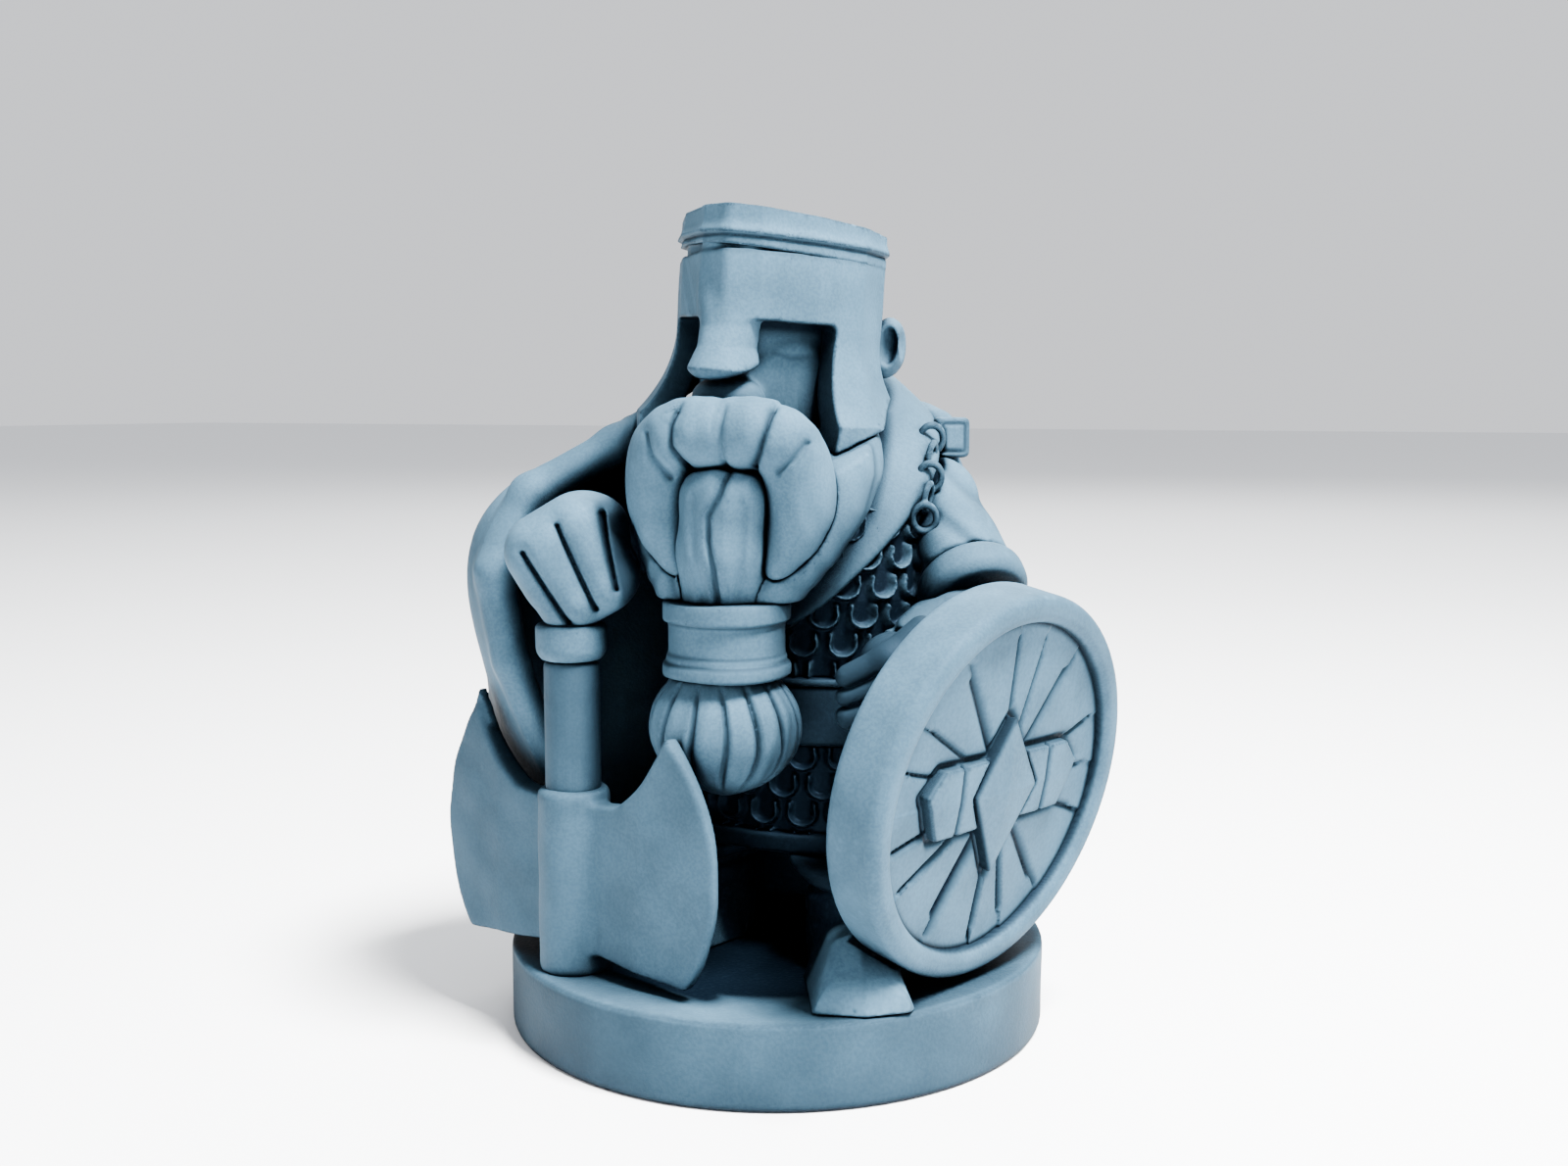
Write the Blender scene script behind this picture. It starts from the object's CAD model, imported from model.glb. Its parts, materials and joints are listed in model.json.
"""Looks for the push-fit tabletop miniature: a helmeted dwarf guard with an axe and a round shield.

Each piece is sculpted as a distance field on a grid, in millimetres in the row frame, and meshed.
A field is negative inside. Where a CAD node has the right shape its own field is the start.
"""

import json
import math

import bpy
import numpy as np
import openvdb
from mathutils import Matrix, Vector


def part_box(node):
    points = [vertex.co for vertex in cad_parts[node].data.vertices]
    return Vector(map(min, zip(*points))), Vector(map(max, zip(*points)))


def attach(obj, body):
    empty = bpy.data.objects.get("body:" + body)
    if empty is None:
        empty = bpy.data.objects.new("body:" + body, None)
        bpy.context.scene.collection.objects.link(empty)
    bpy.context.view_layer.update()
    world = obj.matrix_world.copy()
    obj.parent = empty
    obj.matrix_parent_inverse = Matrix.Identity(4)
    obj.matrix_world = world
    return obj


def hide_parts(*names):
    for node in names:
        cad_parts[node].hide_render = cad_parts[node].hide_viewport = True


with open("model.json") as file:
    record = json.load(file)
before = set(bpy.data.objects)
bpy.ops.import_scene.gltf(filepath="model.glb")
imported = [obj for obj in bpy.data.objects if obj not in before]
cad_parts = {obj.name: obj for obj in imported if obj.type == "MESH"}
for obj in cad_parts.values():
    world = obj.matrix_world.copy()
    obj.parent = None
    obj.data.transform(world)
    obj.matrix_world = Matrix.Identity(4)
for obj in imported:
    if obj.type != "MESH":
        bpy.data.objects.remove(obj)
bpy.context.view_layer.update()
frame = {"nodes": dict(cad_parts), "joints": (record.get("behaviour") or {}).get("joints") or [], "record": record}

MM = 0.001
VOXEL = 0.1  # grid pitch of plain pieces
FINE = 0.075  # grid pitch of detailed pieces
BAND = 8  # how many voxels of a CAD node's field are kept
KEPT_BAND = 4  # how many voxels of a piece's field are meshed from


# -------- places, in millimetres, and turns
def low_high(*nodes):
    """The common box of CAD nodes, in millimetres."""
    boxes = [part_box(node) for node in nodes]
    low = np.min([np.array(b[0]) for b in boxes], axis=0) / MM
    high = np.max([np.array(b[1]) for b in boxes], axis=0) / MM
    return low, high


def middle(*nodes):
    """The middle of their common box."""
    low, high = low_high(*nodes)
    return (low + high) / 2


GROUND = low_high("base_disc")[1][2]
HELMET_YAW = math.radians(3.0)
BEARD_YAW = math.radians(7.0)
HEAD = np.array([0.66, -1.34, 0.0])  # an upright axis through the head
RING = middle("beard_ring")
FIST = middle("right_fist")
TRUNK_X, TRUNK_Y = middle("mail_skirt")[:2]
HAFT = middle("axe_haft")
AXE_YAW = math.radians(-15.0)
PULL = np.array(next(j for j in frame["joints"] if j["name"] == "shield_pull")["axis"])
SHIELD_LEAN = math.radians(10.4)
SHIELD_NORMAL = PULL * math.cos(SHIELD_LEAN) - np.array([0.0, 0.0, math.sin(SHIELD_LEAN)])
SHIELD_RADIUS = 8.5
SHIELD_DEPTH = 2.8
SHIELD = middle("shield_rim") + SHIELD_NORMAL * SHIELD_DEPTH / 2
VIEW_YAW = math.radians(25.0)  # the way the fists face, towards the camera


# -------- distance fields
def share(value):
    """The value held between 0 and 1."""
    return np.clip(value, 0, 1)


def seen_from(p, origin, yaw=0.0, pitch=0.0, roll=0.0):
    """The points in a frame at origin, turned by yaw about Z, then pitch about X, then roll about Y."""
    x, y, z = (p[i] - origin[i] for i in range(3))
    c, s = math.cos(yaw), math.sin(yaw)
    x, y = c * x + s * y, c * y - s * x
    c, s = math.cos(pitch), math.sin(pitch)
    y, z = c * y + s * z, c * z - s * y
    c, s = math.cos(roll), math.sin(roll)
    x, z = c * x - s * z, c * z + s * x
    return x, y, z


def join(a, b, soft=0.2):
    """Both shapes together, their meeting filled softly."""
    h = share(0.5 + 0.5 * (b - a) / soft)
    return b + (a - b) * h - soft * h * (1 - h)


def cut(a, b, soft=0.1):
    """The first shape without the second."""
    return -join(-a, b, soft)


def meet(a, b, soft=0.1):
    """Where both shapes are."""
    return -join(-a, -b, soft)


def egg(p, c, size):
    """An egg of three half sizes."""
    q = [(p[i] - c[i]) / size[i] for i in range(3)]
    k0 = np.sqrt(q[0] ** 2 + q[1] ** 2 + q[2] ** 2) + 1e-6
    k1 = np.sqrt((q[0] / size[0]) ** 2 + (q[1] / size[1]) ** 2 + (q[2] / size[2]) ** 2) + 1e-6
    return k0 * (k0 - 1) / k1


def along(p, a, b):
    """Share of the way from a to b (0 to 1), and the distance from that line."""
    ab = np.subtract(b, a)
    h = sum((p[i] - a[i]) * ab[i] for i in range(3)) / max(float(ab @ ab), 1e-9)
    h = share(h)
    return h, np.sqrt(sum((p[i] - a[i] - ab[i] * h) ** 2 for i in range(3)))


def rope(p, stations, soft=0.25):
    """A rounded bar through (x, y, z, radius) stations."""
    whole = None
    for a, b in zip(stations, stations[1:]):
        h, d = along(p, a[:3], b[:3])
        d = d - (a[3] + (b[3] - a[3]) * h)
        whole = d if whole is None else join(whole, d, soft)
    return whole


def smooth_way(stations, steps=3):
    """More stations, on a smooth curve through the given ones."""
    given = np.array(stations, float)
    given = np.vstack([2 * given[0] - given[1], given, 2 * given[-1] - given[-2]])
    way = []
    for a, b, c, d in zip(given, given[1:], given[2:], given[3:]):
        bend, twist = 2 * a - 5 * b + 4 * c - d, 3 * b - a - 3 * c + d
        for t in np.arange(steps) / steps:
            way.append(0.5 * (2 * b + (c - a) * t + bend * t**2 + twist * t**3))
    return way + [given[-2]]


def rod(p, a, b, r, soft=0.1):
    """A cylinder with rounded edges."""
    a, b = np.array(a, float), np.array(b, float)
    length = float(np.linalg.norm(b - a))
    u = (b - a) / length
    h = sum((p[i] - a[i]) * u[i] for i in range(3))
    out = np.sqrt(np.maximum(sum((p[i] - a[i]) ** 2 for i in range(3)) - h * h, 0))
    dx, dy = out - r + soft, np.abs(h - length / 2) - length / 2 + soft
    return np.minimum(np.maximum(dx, dy), 0) + np.hypot(np.maximum(dx, 0), np.maximum(dy, 0)) - soft


def block(p, half, soft=0.1):
    """A box round the origin with rounded edges."""
    q = [np.abs(p[i]) - half[i] + soft for i in range(3)]
    outside = np.sqrt(sum(np.maximum(k, 0) ** 2 for k in q))
    return outside + np.minimum(np.maximum(q[0], np.maximum(q[1], q[2])), 0) - soft


def polygon(u, v, corners):
    """Signed distance from a closed outline in a plane."""
    nearest = 1e9
    sign = 1.0
    for (ax, ay), (bx, by) in zip(corners, corners[1:] + corners[:1]):
        ex, ey, wx, wy = bx - ax, by - ay, u - ax, v - ay
        h = share((wx * ex + wy * ey) / (ex * ex + ey * ey))
        nearest = np.minimum(nearest, (wx - ex * h) ** 2 + (wy - ey * h) ** 2)
        left = ex * wy > ey * wx
        crossing = ((v >= ay) & (v < by) & left) | ((v < ay) & (v >= by) & ~left)
        sign = np.where(crossing, -sign, sign)
    return sign * np.sqrt(nearest)


def line(u, v, points):
    """Distance from an open line in a plane."""
    nearest = 1e9
    for (ax, ay), (bx, by) in zip(points, points[1:]):
        ex, ey = bx - ax, by - ay
        h = share(((u - ax) * ex + (v - ay) * ey) / (ex * ex + ey * ey))
        nearest = np.minimum(nearest, (u - ax - ex * h) ** 2 + (v - ay - ey * h) ** 2)
    return np.sqrt(nearest)


def profile(z, heights, radii):
    """Radii read at z, their corners rounded."""
    return sum(np.interp(z + k * 0.12, heights, radii) for k in range(-3, 4)) / 7


def dent(distance, width):
    """1 on a line, falling to 0 over the width."""
    return np.exp(-((distance / width) ** 2))


class Grid:
    """A block of grid points round CAD nodes."""

    def __init__(self, nodes, spread, voxel):
        low, high = low_high(*nodes)
        self.voxel = voxel
        self.low = low - spread
        self.count = np.ceil((high + spread - self.low) / voxel).astype(int) + 1
        axes = [self.low[i] + voxel * np.arange(self.count[i], dtype=np.float32) for i in range(3)]
        self.points = np.meshgrid(*axes, indexing="ij", sparse=True)

    def cad(self, node):
        """The field of a CAD node, exact near its surface."""
        mesh = frame["nodes"][node].data
        mesh.calc_loop_triangles()
        points = np.empty(len(mesh.vertices) * 3, np.float32)
        mesh.vertices.foreach_get("co", points)
        points = (points.reshape(-1, 3) / MM - self.low) / self.voxel
        triangles = np.empty(len(mesh.loop_triangles) * 3, np.int32)
        mesh.loop_triangles.foreach_get("vertices", triangles)
        triangles = triangles.reshape(-1, 3).astype(np.uint32)
        level = openvdb.FloatGrid.createLevelSetFromPolygons(
            points.astype(np.float32), triangles=triangles, halfWidth=float(BAND)
        )
        field = np.empty(self.count, np.float32)
        level.copyToArray(field)
        return field * self.voxel

    def full(self, field):
        """The field, or one number, on every point of the grid."""
        return np.broadcast_to(field, self.count)


def softened(field, times):
    """The field blurred, which rounds its edges."""
    for _ in range(times):
        for axis in range(3):
            padded = np.pad(field, [(1, 1) if i == axis else (0, 0) for i in range(3)], mode="edge")
            n = field.shape[axis]
            low, high = [np.take(padded, range(k, k + n), axis=axis) for k in (0, 2)]
            field = 0.25 * low + 0.5 * field + 0.25 * high
    return field


def sampled(values, at):
    """Values of a grid at fractional grid places."""
    base = np.clip(np.floor(at).astype(int), 0, np.array(values.shape) - 2)
    f = at - base
    total = 0.0
    for i in (0, 1):
        for j in (0, 1):
            for k in (0, 1):
                weight = abs(1 - i - f[:, 0]) * abs(1 - j - f[:, 1]) * abs(1 - k - f[:, 2])
                total = total + weight * values[base[:, 0] + i, base[:, 1] + j, base[:, 2] + k]
    return total


def piece(name, shape, body, slot, nodes, spread=0.5, voxel=None, round_nodes=()):
    """Meshes the field that shape(grid) gives.

    shape may also give how much dark wash has gathered, as a field or one number. round_nodes place
    the grid where a piece has no CAD node of its own.
    """
    grid = Grid(list(round_nodes) or list(nodes), spread, voxel or VOXEL)
    made = shape(grid)
    field, wash = made if isinstance(made, tuple) else (made, None)
    values = np.ascontiguousarray(grid.full(field), dtype=np.float32)
    limit = KEPT_BAND * grid.voxel
    level = openvdb.FloatGrid(limit)
    level.copyFromArray(np.clip(values, -limit, limit))
    points, quads = level.convertToQuads(isovalue=0.0)
    mesh = bpy.data.meshes.new(name)
    mesh.from_pydata(((points * grid.voxel + grid.low) * MM).tolist(), [], quads[:, ::-1].tolist())
    if wash is not None:
        layer = mesh.attributes.new("wash", "FLOAT", "POINT")
        amount = sampled(np.ascontiguousarray(grid.full(wash), dtype=np.float32), points)
        layer.data.foreach_set("value", share(amount).astype(np.float32))
    mesh.shade_smooth()
    obj = bpy.data.objects.new(name, mesh)
    bpy.context.scene.collection.objects.link(obj)
    mesh.materials.append(RESIN[slot])
    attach(obj, body)
    if nodes:
        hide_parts(*nodes)
    return obj


# -------- materials
TONE = (0.0314, 0.0661, 0.0956)  # the cast's blue-grey
WASH_COLOUR = (0.0003, 0.0010, 0.0022, 1)
DARK_SPECK = (0.87, 0.885, 0.9, 1)  # the fine grain multiplies the tone between these two
PALE_SPECK = (1.07, 1.06, 1.05, 1)
GLINT = (0.3, 0.6, 1.0, 1)
BROAD_PATCH = 3.1  # mm, size of the uneven patches of tone
NEAR_RECESS = 0.8  # mm, reach of the shade in tight recesses
DEEP_RECESS = 9.0  # mm, reach of the shade in deep hollows
BUMP_HEIGHT = 0.03  # mm


def resin(name, colour, grain, grain_size, streak=None, roughness=0.62, edge=0.25):
    """Cast resin: fine grain, uneven tone, dark wash in the recesses and paler rubbed edges.

    grain_size is in mm; streak is a stretched noise's size in mm, its stretch and its strength.
    """
    material = bpy.data.materials.new(name)
    material.use_nodes = True
    nodes, links = material.node_tree.nodes, material.node_tree.links
    shader = nodes["Principled BSDF"]

    def node(kind, **values):
        made = nodes.new(kind)
        for key, value in values.items():
            if key in made.inputs:
                made.inputs[key].default_value = value
            else:
                setattr(made, key, value)
        return made

    def feed(sockets, values):
        """Each socket takes a link or a plain value."""
        for socket, value in zip(sockets, values):
            if isinstance(value, bpy.types.NodeSocket):
                links.new(value, socket)
            else:
                socket.default_value = value

    def maths(operation, a, b, clamp=False):
        made = node("ShaderNodeMath", operation=operation, use_clamp=clamp)
        feed(made.inputs, (a, b))
        return made.outputs[0]

    def mixed(factor, a, b, blend="MIX"):
        made = node("ShaderNodeMix", data_type="RGBA", blend_type=blend)
        feed([made.inputs[k] for k in (0, 6, 7)], (factor, a, b))
        return made.outputs[2]

    def noise(size_mm, detail=2.0, stretch=None):
        made = node("ShaderNodeTexNoise", Scale=1.0 / (size_mm * MM), Detail=detail)
        source = place.outputs["Object"]
        if stretch:
            mapping = node("ShaderNodeMapping", Scale=stretch)
            links.new(source, mapping.inputs["Vector"])
            source = mapping.outputs[0]
        links.new(source, made.inputs["Vector"])
        return made.outputs["Fac"]

    def occlusion(reach_mm):
        made = node("ShaderNodeAmbientOcclusion", Distance=reach_mm * MM, samples=6)
        return made.outputs["AO"]

    def ramp(value, low, high):
        made = node("ShaderNodeMapRange", clamp=True)
        made.interpolation_type = "SMOOTHSTEP"
        feed([made.inputs[k] for k in ("Value", "From Min", "From Max")], (value, low, high))
        return made.outputs[0]

    place = node("ShaderNodeTexCoord")
    broad, fine = noise(BROAD_PATCH, 3.0), noise(grain_size, 3.0)
    pale = tuple(min(1.0, k * 1.16) for k in colour) + (1,)
    deep = tuple(k * 0.82 for k in colour) + (1,)
    tone = mixed(ramp(broad, 0.3, 0.7), deep, pale)
    speck = mixed(ramp(fine, 0.35, 0.65), DARK_SPECK, PALE_SPECK)
    tone = mixed(1.0, tone, speck, "MULTIPLY")
    bend = node("ShaderNodeNewGeometry").outputs["Pointiness"]
    rubbed = tuple(k * 1.5 for k in colour) + (1,)
    tone = mixed(maths("MULTIPLY", ramp(bend, 0.515, 0.62), edge), tone, rubbed)
    gathered = node("ShaderNodeAttribute", attribute_name="wash").outputs["Fac"]
    crease = ramp(bend, 0.5, 0.43)
    near = ramp(occlusion(NEAR_RECESS), 0.75, 0.3)
    far = ramp(occlusion(DEEP_RECESS), 0.68, 0.34)
    dark = maths("MAXIMUM", maths("MULTIPLY", near, 0.75), far)
    dark = maths("MAXIMUM", dark, maths("MULTIPLY", crease, 0.8))
    dark = maths("MAXIMUM", dark, gathered, clamp=True)
    dark = maths("MULTIPLY", dark, maths("ADD", 0.93, maths("MULTIPLY", fine, 0.15)), clamp=True)
    links.new(mixed(dark, tone, WASH_COLOUR), shader.inputs["Base Color"])
    rough = maths("ADD", roughness - 0.08, maths("MULTIPLY", fine, 0.16))
    links.new(rough, shader.inputs["Roughness"])
    shader.inputs["Specular IOR Level"].default_value = 0.07
    shader.inputs["Specular Tint"].default_value = GLINT

    height = maths("MULTIPLY", fine, grain)
    if streak:
        height = maths("ADD", height, maths("MULTIPLY", noise(streak[0], 2.0, streak[1]), streak[2]))
    bump = node("ShaderNodeBump", Strength=0.6, Distance=BUMP_HEIGHT * MM)
    links.new(height, bump.inputs["Height"])
    links.new(bump.outputs["Normal"], shader.inputs["Normal"])
    return material


def shade(amount):
    """The cast's tone, lighter or darker."""
    return tuple(k * amount for k in TONE)


RESIN = {
    "base": resin("base_cast", shade(0.96), 1.0, 0.16),
    "leather": resin("leather_cast", shade(1.55), 1.2, 0.2),
    "cloth": resin("cloth_cast", shade(0.97), 0.8, 0.13, (0.5, (1, 1, 0.35), 0.8)),
    "mail": resin("mail_cast", shade(1.3), 0.6, 0.12, None, 0.55, 0.5),
    "metal": resin("metal_cast", shade(1.03), 0.7, 0.14),
    "wood_grip": resin("wood_cast", shade(0.95), 0.7, 0.14, (0.35, (1, 1, 0.12), 1.4)),
    "shield_face": resin("shield_cast", shade(1.02), 0.9, 0.18),
    "skin": resin("skin_cast", shade(1.05), 0.6, 0.14),
    "hair": resin("hair_cast", shade(1.06), 0.5, 0.12, (0.3, (1, 1, 0.2), 1.0)),
}

# A CAD solid that nothing replaces wears the same resin.
for item in frame["record"]["subparts"]:
    cad_node = frame["nodes"][item["node"]]
    cad_node.data.materials.clear()
    cad_node.data.materials.append(RESIN[item["material_slot"]])


# -------- trunk
TRUNK_ROWS = [  # height, centre y, half width, half depth
    (8.4, 1.7, 6.3, 5.0), (13.3, 1.75, 5.9, 4.95), (16.3, 1.8, 6.1, 5.05), (19.8, 1.9, 6.2, 4.95),
    (23.0, 2.1, 5.7, 4.5), (25.0, 2.3, 4.5, 3.7), (26.2, 2.3, 3.3, 3.0),
]
LINK_PITCH = 1.6  # from one link to the next along a row
LINK_ROW = 1.28  # from one row to the next
LINK_RADIUS = 0.54
LINK_DEPTH = 0.38  # how far a link stands out of the mail's ground
HEM_SHADE_TOP = 14.8  # below this height the mail lies in the shade of the body


def trunk(p):
    """The trunk's field, and the distance round it from its front."""
    rows = np.array(TRUNK_ROWS)
    centre, half_x, half_y = (np.interp(p[2], rows[:, 0], rows[:, k]) for k in (1, 2, 3))
    x, y = (p[0] - TRUNK_X) / half_x, (p[1] - centre) / half_y
    field = ((np.abs(x) ** 2.2 + np.abs(y) ** 2.2) ** (1 / 2.2) - 1) * np.minimum(half_x, half_y)
    round_way = np.arctan2(x, -y) * (half_x + half_y) / 2
    return field, round_way


def links_relief(round_way, z):
    """How proud the U-shaped mail links stand, from 0 to 1."""
    relief = 0.0
    for shift in (0, 1):
        row = np.floor((z - shift * LINK_ROW) / (2 * LINK_ROW) + 0.5)
        v = z - shift * LINK_ROW - row * 2 * LINK_ROW
        u = (round_way + shift * LINK_PITCH / 2 + LINK_PITCH / 2) % LINK_PITCH - LINK_PITCH / 2
        bow = np.abs(np.hypot(u, v) - LINK_RADIUS)
        bow = np.where(v > 0.2, np.hypot(np.abs(u) - LINK_RADIUS * 0.93, np.maximum(v - 0.4, 0)), bow)
        relief = np.maximum(relief, dent(bow, 0.1))
    return relief


def between(z, low, high):
    """The field of everything between two heights."""
    return np.abs(z - (low + high) / 2) - (high - low) / 2


def mail_piece(low, high):
    """A stretch of the trunk covered in mail links."""
    def shape(grid):
        z = grid.points[2]
        field, round_way = trunk(grid.points)
        relief = links_relief(round_way, z)
        field = meet(field + 0.12 - LINK_DEPTH * relief, between(z, low, high), 0.1)
        low_shade = 0.93 * share((HEM_SHADE_TOP - z) / 1.5)
        return field, np.maximum(1.0 - share(relief * 1.2), low_shade)
    return shape


def band_piece(low, high, proud, wash):
    """A plain band round the trunk."""
    def shape(grid):
        field, _ = trunk(grid.points)
        return meet(field - proud, between(grid.points[2], low, high), 0.2), wash
    return shape


def under_robe(grid):
    """The dark lining between the legs, under the skirt."""
    y = TRUNK_Y + 0.6
    return rod(grid.points, (TRUNK_X, y, 5.6), (TRUNK_X, y, 9.4), 3.6, 0.5), 1.0


def make_trunk():
    for part in ("shirt", "skirt"):
        low, high = low_high("mail_" + part)
        piece(f"mail_{part}_look", mail_piece(low[2], high[2]), "figure", "mail",
              ["mail_" + part, part + "_links"], voxel=FINE)
    bands = [  # node, slot, how proud it stands, how much wash it holds
        ("skirt_hem", "cloth", 0.32, 0.92),
        ("belt", "leather", 0.2, 0.85),
        ("shirt_band", "cloth", 0.28, 0.4),
    ]
    for node, slot, proud, wash in bands:
        low, high = low_high(node)
        piece(node + "_look", band_piece(low[2], high[2], proud, wash), "figure", slot, [node])
    piece("under_robe_look", under_robe, "figure", "cloth", [], (0, 0, 3.5), round_nodes=["skirt_hem"])


# -------- head
HELMET_HALF = [(1.15, -5.4), (3.1, -3.25), (4.4, -0.9), (4.55, 1.2), (3.55, 3.4), (1.8, 4.6)]
HELMET_FRONT = -6.1
HELMET_BACK = 4.9
HELMET_ROLL = math.radians(4.0)  # the helmet leans to the figure's left
CROWN_TOP = 36.78  # height of the crown's top at the ridge in front
CROWN_TOP_FALL = 0.089  # its fall per mm to the back
CROWN_LIP = 35.5  # height of the crown's lower lip at the ridge
CROWN_LIP_FALL = 0.037
BROW = 32.05  # height of the face windows' upper edge
NOSE_HEIGHTS = [29.3, 29.9, 30.4, 30.85, 31.7, 32.6, 33.6]
NOSE_HALF = [1.3, 1.52, 1.36, 1.22, 1.28, 1.45, 1.5]
NOSE_FRONT = [6.65, 6.95, 6.72, 6.5, 6.15, 5.95, 5.6]
NOSE_BACK = 4.6
NOSE_TIP = 29.35
NOSE_SHIFT = -0.1
WINDOW_EDGE = (3.9, -2.35)  # where a face window ends on the helmet's side
WINDOW_CORNER = 0.3  # radius of its upper corner
WALL_WAY = (0.6, 0.8)  # the wall's direction there
WALL = 1.2
CHEEK_LOW = (-3.2, 26.9)  # y and z of a cheek guard's lowest corner
CHEEK_RISE = 0.48
CHEEK_LENGTH = 5.2  # the edge rises this far behind that corner, then runs level
NAPE_START = 2.0
NAPE_DROP = 1.2


def helmet_points(grid):
    """The points in the helmet's own frame, turned and rolled about the brow."""
    x, y, z = seen_from(grid.points, (HEAD[0] - 0.1, HEAD[1], BROW), HELMET_YAW, 0.0, HELMET_ROLL)
    return x, y, z + BROW


def beard_points(grid):
    return seen_from(grid.points, HEAD, BEARD_YAW)


def helmet_plan(x, y):
    """The helmet's plan: blunt ridge in front, rounded back."""
    soft = 0.55
    corners = [(0.0, HELMET_FRONT + 0.1 + soft)]
    corners += [(a * (1 - soft / 5), b * (1 - soft / 6)) for a, b in HELMET_HALF]
    corners += [(0.0, HELMET_BACK - soft / 2)] + [(-a, b) for a, b in corners[:0:-1]]
    return polygon(x, y, corners) - soft


def crown_plane(y, height, fall):
    """The height of a plane that falls to the back."""
    return height - fall * (y - HELMET_FRONT)


def cheek_edge(y):
    """The height of the helmet's lower edge: up behind the cheek guards' corners, down at the nape."""
    rise = CHEEK_RISE * np.clip(y - CHEEK_LOW[0], -2, CHEEK_LENGTH)
    return CHEEK_LOW[1] + rise - NAPE_DROP * share((y - NAPE_START) / 0.8)


def helmet_outside(x, y, z):
    """The helmet's outer face; the cheeks flare below the brow."""
    low = np.clip(31.4 - z, 0, 3.6) * share((3.6 - y) / 2.5)
    return helmet_plan(x, y) - 0.03 * low - 0.095 * low ** 2 * np.clip(np.abs(x) / 4.2, 0, 1.2)


def nose_guard(x, y, z):
    """A nose-shaped bar in front of the face, widest above its rounded tip."""
    x = x - NOSE_SHIFT
    half = np.interp(z, NOSE_HEIGHTS, NOSE_HALF)
    front = np.interp(z, NOSE_HEIGHTS, NOSE_FRONT)
    deep = np.minimum(y + NOSE_BACK, 0) / (front - NOSE_BACK)
    guard = 1.35 * ((np.abs(x / half) ** 2.6 + np.abs(deep) ** 2.2) ** 0.4 - 1)
    guard = np.maximum(guard, y + NOSE_BACK)
    return meet(guard, NOSE_TIP + 0.14 * x ** 2 + 0.25 * (y + 6.8) - z, 0.25)


def helmet(grid):
    """The helmet's wall with its face windows and nose guard."""
    x, y, z = helmet_points(grid)
    u = np.abs(x)
    outer = helmet_outside(x, y, z)
    wall = cut(outer, outer + WALL, 0.05)
    top = z - crown_plane(y, CROWN_LIP - 0.6, CROWN_LIP_FALL) - 0.04 * x
    wall = meet(wall, top, 0.08)
    side = (u - WINDOW_EDGE[0]) * WALL_WAY[0] + (y - WINDOW_EDGE[1]) * WALL_WAY[1]
    side = side + 0.14 * np.clip(31.5 - z, 0, 5)
    window = np.maximum(side, z - BROW)
    inset = WINDOW_CORNER
    corner = np.hypot(np.maximum(side + inset, 0), np.maximum(z - BROW + inset, 0)) - inset
    window = np.maximum(window, np.where((side > -inset) & (z > BROW - inset), corner, -9))
    wall = cut(wall, np.maximum(window, y - 0.5), 0.08)
    wall = join(wall, nose_guard(x, y, z), 0.2)
    wall = meet(wall, cheek_edge(y) - z, 0.1)
    wear = 0.025 * np.sin(1.9 * x + 1.3 * z) * np.sin(1.5 * y - 0.7 * z)
    return wall + wear, 0.6 * dent(top + 0.02, 0.1)


def crown(grid):
    """The raised band round the helmet's top, over a thin strap."""
    x, y, z = helmet_points(grid)
    plan = helmet_plan(x, y)
    lip = crown_plane(y, CROWN_LIP, CROWN_LIP_FALL)
    top = crown_plane(y, CROWN_TOP, CROWN_TOP_FALL)
    bulge = 0.17 * dent(z - lip - 0.1, 0.3)
    slab = meet(plan + 0.02 - bulge, np.maximum(z - top, lip - z), 0.07)
    strap = meet(plan - 0.01, np.maximum(z - lip - 0.3, lip - 0.38 - 0.04 * x - z), 0.07)
    neck = meet(plan + 0.32, np.maximum(z - top + 0.5, lip - 0.75 - z), 0.05)
    seam = dent(z - lip + 0.02, 0.08)
    return join(join(slab, strap, 0.04) + 0.08 * seam, neck, 0.05), seam


def face(grid):
    """The calm, closed-eyed face, and the neck with its peg."""
    x, y, z = helmet_points(grid)
    u = np.abs(x)
    p = (u, y, z)
    front = -4.35 + 0.16 * u ** 2
    skull = meet(helmet_plan(x, y) + WALL + 0.1, np.maximum(np.abs(z - 30.6) - 4.0, front - y), 0.5)
    skull = join(skull, egg(p, (0, -1.0, 28.6), (3.0, 3.6, 2.6)), 0.8)
    skull = join(skull, egg(p, (1.9, -2.4, 29.4), (1.6, 1.5, 1.6)), 0.8)
    skull = join(skull, egg(p, (0, -4.8, 29.0), (1.9, 1.7, 0.8)), 0.4)
    lid = line(u, z, [(1.4, 30.75), (2.1, 30.55), (2.8, 30.75)])
    skull = skull + 0.06 * dent(lid, 0.1) * (y < 0)
    brow_shade = share((z - 31.35) / 0.45) * (y < 0)
    neck = rod(grid.points, (HEAD[0] + 0.1, 1.4, 23.6), (HEAD[0] + 0.1, 1.4, 28), 1.4, 0.1)
    shoulders = rod(grid.points, (HEAD[0], 1.2, 26.25), (HEAD[0], 0.6, 28.5), 2.6, 0.2)
    whole = join(join(skull, shoulders, 0.4), neck, 0.1)
    top = z - (CROWN_LIP - 1.0)
    whole = meet(whole, np.maximum(top, helmet_plan(x, y) + WALL - 0.1), 0.1)
    lip = egg(p, (0, -4.75, 28.7), (1.6, 1.45, 1.0))
    whole = join(whole, lip, 0.3)
    lip_shade = 0.45 * (lip < 0.1) * (y < -4.5)
    lid_shade = 0.6 * dent(lid, 0.08) * (y < 0)
    return whole, np.maximum(np.maximum(brow_shade, lip_shade), lid_shade)


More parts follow.
